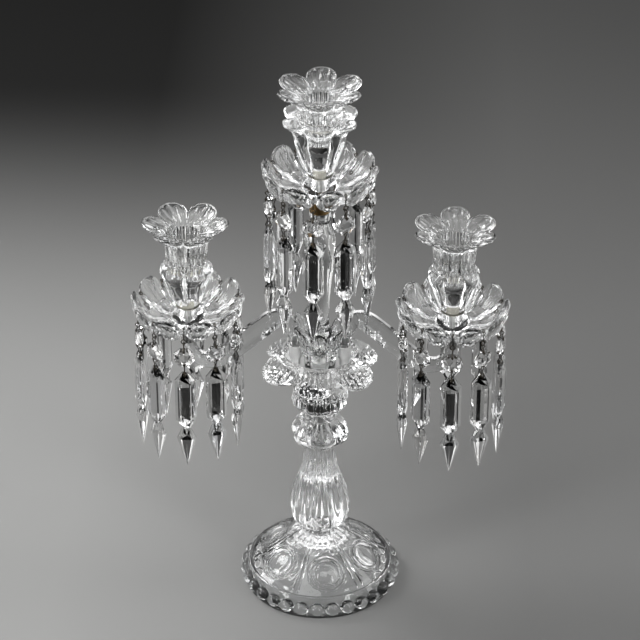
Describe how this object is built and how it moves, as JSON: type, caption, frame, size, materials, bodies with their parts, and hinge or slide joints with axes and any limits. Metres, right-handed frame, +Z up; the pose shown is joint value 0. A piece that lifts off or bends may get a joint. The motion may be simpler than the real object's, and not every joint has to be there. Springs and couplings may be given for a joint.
{
  "type": "girandole candle holder",
  "caption": "Crystal table girandole with a beaded foot, swan-neck arms, petalled drip pans and candle cups, and rings of hanging spear prisms that swing.",
  "frame": {"origin": "centre of the foot on the table", "axes": "+Z up, arms along X, front towards -Y"},
  "size_m": [0.338, 0.15, 0.5146],
  "materials": {
    "crystal": "polished",
    "brass": "satin",
    "silvered": "satin",
    "cork": "matte"
  },
  "bodies": {
    "stand": {"foot": "crystal", "urn_washer": "cork", "centre_stud": "silvered", "urn": "crystal", "arm_plate": "silvered", "plate_nut": "silvered", "calyx": "crystal", "column_socket": "silvered", "column": "crystal", "arm_left": "crystal", "arm_right": "crystal", "tail_left": "silvered", "tail_right": "silvered", "ferrule_left": "silvered", "ferrule_right": "silvered", "ferrule_top": "brass", "peg_left": "silvered", "peg_right": "silvered", "peg_top": "silvered", "pan_left": "crystal", "pan_right": "crystal", "pan_top": "crystal", "cup_left": "crystal", "cup_right": "crystal", "cup_top": "crystal", "hooks_left": "brass", "hooks_right": "brass", "hooks_top": "brass"},
    "pendant_left_1": {"pendant_left_1": "crystal"},
    "pendant_left_2": {"pendant_left_2": "crystal"},
    "pendant_left_3": {"pendant_left_3": "crystal"},
    "pendant_left_4": {"pendant_left_4": "crystal"},
    "pendant_left_5": {"pendant_left_5": "crystal"},
    "pendant_left_6": {"pendant_left_6": "crystal"},
    "pendant_left_7": {"pendant_left_7": "crystal"},
    "pendant_left_8": {"pendant_left_8": "crystal"},
    "pendant_left_9": {"pendant_left_9": "crystal"},
    "pendant_left_10": {"pendant_left_10": "crystal"},
    "pendant_right_1": {"pendant_right_1": "crystal"},
    "pendant_right_2": {"pendant_right_2": "crystal"},
    "pendant_right_3": {"pendant_right_3": "crystal"},
    "pendant_right_4": {"pendant_right_4": "crystal"},
    "pendant_right_5": {"pendant_right_5": "crystal"},
    "pendant_right_6": {"pendant_right_6": "crystal"},
    "pendant_right_7": {"pendant_right_7": "crystal"},
    "pendant_right_8": {"pendant_right_8": "crystal"},
    "pendant_right_9": {"pendant_right_9": "crystal"},
    "pendant_right_10": {"pendant_right_10": "crystal"},
    "pendant_top_1": {"pendant_top_1": "crystal"},
    "pendant_top_2": {"pendant_top_2": "crystal"},
    "pendant_top_3": {"pendant_top_3": "crystal"},
    "pendant_top_4": {"pendant_top_4": "crystal"},
    "pendant_top_5": {"pendant_top_5": "crystal"},
    "pendant_top_6": {"pendant_top_6": "crystal"},
    "pendant_top_7": {"pendant_top_7": "crystal"},
    "pendant_top_8": {"pendant_top_8": "crystal"},
    "pendant_top_9": {"pendant_top_9": "crystal"},
    "pendant_top_10": {"pendant_top_10": "crystal"}
  },
  "joints": [
    {"name": "pendant_left_1_swing", "type": "hinge", "parent": "stand", "child": "pendant_left_1", "pos_m": [-0.118, -0.0456, 0.2825], "axis": [-1, 0, 0], "range_deg": [-5, 20]},
    {"name": "pendant_left_2_swing", "type": "hinge", "parent": "stand", "child": "pendant_left_2", "pos_m": [-0.0912, -0.03689, 0.2825], "axis": [-0.809, -0.5878, 0], "range_deg": [-5, 20]},
    {"name": "pendant_left_3_swing", "type": "hinge", "parent": "stand", "child": "pendant_left_3", "pos_m": [-0.07463, -0.01409, 0.2825], "axis": [-0.309, -0.9511, 0], "range_deg": [-5, 20]},
    {"name": "pendant_left_4_swing", "type": "hinge", "parent": "stand", "child": "pendant_left_4", "pos_m": [-0.07463, 0.01409, 0.2825], "axis": [0.309, -0.9511, 0], "range_deg": [-5, 20]},
    {"name": "pendant_left_5_swing", "type": "hinge", "parent": "stand", "child": "pendant_left_5", "pos_m": [-0.0912, 0.03689, 0.2825], "axis": [0.809, -0.5878, 0], "range_deg": [-5, 20]},
    {"name": "pendant_left_6_swing", "type": "hinge", "parent": "stand", "child": "pendant_left_6", "pos_m": [-0.118, 0.0456, 0.2825], "axis": [1, 0, 0], "range_deg": [-5, 20]},
    {"name": "pendant_left_7_swing", "type": "hinge", "parent": "stand", "child": "pendant_left_7", "pos_m": [-0.1448, 0.03689, 0.2825], "axis": [0.809, 0.5878, 0], "range_deg": [-5, 20]},
    {"name": "pendant_left_8_swing", "type": "hinge", "parent": "stand", "child": "pendant_left_8", "pos_m": [-0.16137, 0.01409, 0.2825], "axis": [0.309, 0.9511, 0], "range_deg": [-5, 20]},
    {"name": "pendant_left_9_swing", "type": "hinge", "parent": "stand", "child": "pendant_left_9", "pos_m": [-0.16137, -0.01409, 0.2825], "axis": [-0.309, 0.9511, 0], "range_deg": [-5, 20]},
    {"name": "pendant_left_10_swing", "type": "hinge", "parent": "stand", "child": "pendant_left_10", "pos_m": [-0.1448, -0.03689, 0.2825], "axis": [-0.809, 0.5878, 0], "range_deg": [-5, 20]},
    {"name": "pendant_right_1_swing", "type": "hinge", "parent": "stand", "child": "pendant_right_1", "pos_m": [0.118, -0.0456, 0.2825], "axis": [-1, 0, 0], "range_deg": [-5, 20]},
    {"name": "pendant_right_2_swing", "type": "hinge", "parent": "stand", "child": "pendant_right_2", "pos_m": [0.1448, -0.03689, 0.2825], "axis": [-0.809, -0.5878, 0], "range_deg": [-5, 20]},
    {"name": "pendant_right_3_swing", "type": "hinge", "parent": "stand", "child": "pendant_right_3", "pos_m": [0.16137, -0.01409, 0.2825], "axis": [-0.309, -0.9511, 0], "range_deg": [-5, 20]},
    {"name": "pendant_right_4_swing", "type": "hinge", "parent": "stand", "child": "pendant_right_4", "pos_m": [0.16137, 0.01409, 0.2825], "axis": [0.309, -0.9511, 0], "range_deg": [-5, 20]},
    {"name": "pendant_right_5_swing", "type": "hinge", "parent": "stand", "child": "pendant_right_5", "pos_m": [0.1448, 0.03689, 0.2825], "axis": [0.809, -0.5878, 0], "range_deg": [-5, 20]},
    {"name": "pendant_right_6_swing", "type": "hinge", "parent": "stand", "child": "pendant_right_6", "pos_m": [0.118, 0.0456, 0.2825], "axis": [1, 0, 0], "range_deg": [-5, 20]},
    {"name": "pendant_right_7_swing", "type": "hinge", "parent": "stand", "child": "pendant_right_7", "pos_m": [0.0912, 0.03689, 0.2825], "axis": [0.809, 0.5878, 0], "range_deg": [-5, 20]},
    {"name": "pendant_right_8_swing", "type": "hinge", "parent": "stand", "child": "pendant_right_8", "pos_m": [0.07463, 0.01409, 0.2825], "axis": [0.309, 0.9511, 0], "range_deg": [-5, 20]},
    {"name": "pendant_right_9_swing", "type": "hinge", "parent": "stand", "child": "pendant_right_9", "pos_m": [0.07463, -0.01409, 0.2825], "axis": [-0.309, 0.9511, 0], "range_deg": [-5, 20]},
    {"name": "pendant_right_10_swing", "type": "hinge", "parent": "stand", "child": "pendant_right_10", "pos_m": [0.0912, -0.03689, 0.2825], "axis": [-0.809, 0.5878, 0], "range_deg": [-5, 20]},
    {"name": "pendant_top_1_swing", "type": "hinge", "parent": "stand", "child": "pendant_top_1", "pos_m": [-0.00397, -0.04543, 0.4165], "axis": [-0.9962, 0.0872, 0], "range_deg": [-5, 20]},
    {"name": "pendant_top_2_swing", "type": "hinge", "parent": "stand", "child": "pendant_top_2", "pos_m": [0.02349, -0.03909, 0.4165], "axis": [-0.8572, -0.515, 0], "range_deg": [-5, 20]},
    {"name": "pendant_top_3_swing", "type": "hinge", "parent": "stand", "child": "pendant_top_3", "pos_m": [0.04197, -0.01782, 0.4165], "axis": [-0.3907, -0.9205, 0], "range_deg": [-5, 7]},
    {"name": "pendant_top_4_swing", "type": "hinge", "parent": "stand", "child": "pendant_top_4", "pos_m": [0.04443, 0.01026, 0.4165], "axis": [0.225, -0.9744, 0], "range_deg": [-5, 7]},
    {"name": "pendant_top_5_swing", "type": "hinge", "parent": "stand", "child": "pendant_top_5", "pos_m": [0.02992, 0.03442, 0.4165], "axis": [0.7547, -0.6561, 0], "range_deg": [-5, 20]},
    {"name": "pendant_top_6_swing", "type": "hinge", "parent": "stand", "child": "pendant_top_6", "pos_m": [0.00397, 0.04543, 0.4165], "axis": [0.9962, -0.0872, 0], "range_deg": [-5, 20]},
    {"name": "pendant_top_7_swing", "type": "hinge", "parent": "stand", "child": "pendant_top_7", "pos_m": [-0.02349, 0.03909, 0.4165], "axis": [0.8572, 0.515, 0], "range_deg": [-5, 20]},
    {"name": "pendant_top_8_swing", "type": "hinge", "parent": "stand", "child": "pendant_top_8", "pos_m": [-0.04197, 0.01782, 0.4165], "axis": [0.3907, 0.9205, 0], "range_deg": [-5, 7]},
    {"name": "pendant_top_9_swing", "type": "hinge", "parent": "stand", "child": "pendant_top_9", "pos_m": [-0.04443, -0.01026, 0.4165], "axis": [-0.225, 0.9744, 0], "range_deg": [-5, 7]},
    {"name": "pendant_top_10_swing", "type": "hinge", "parent": "stand", "child": "pendant_top_10", "pos_m": [-0.02992, -0.03442, 0.4165], "axis": [-0.7547, 0.6561, 0], "range_deg": [-5, 20]}
  ]
}
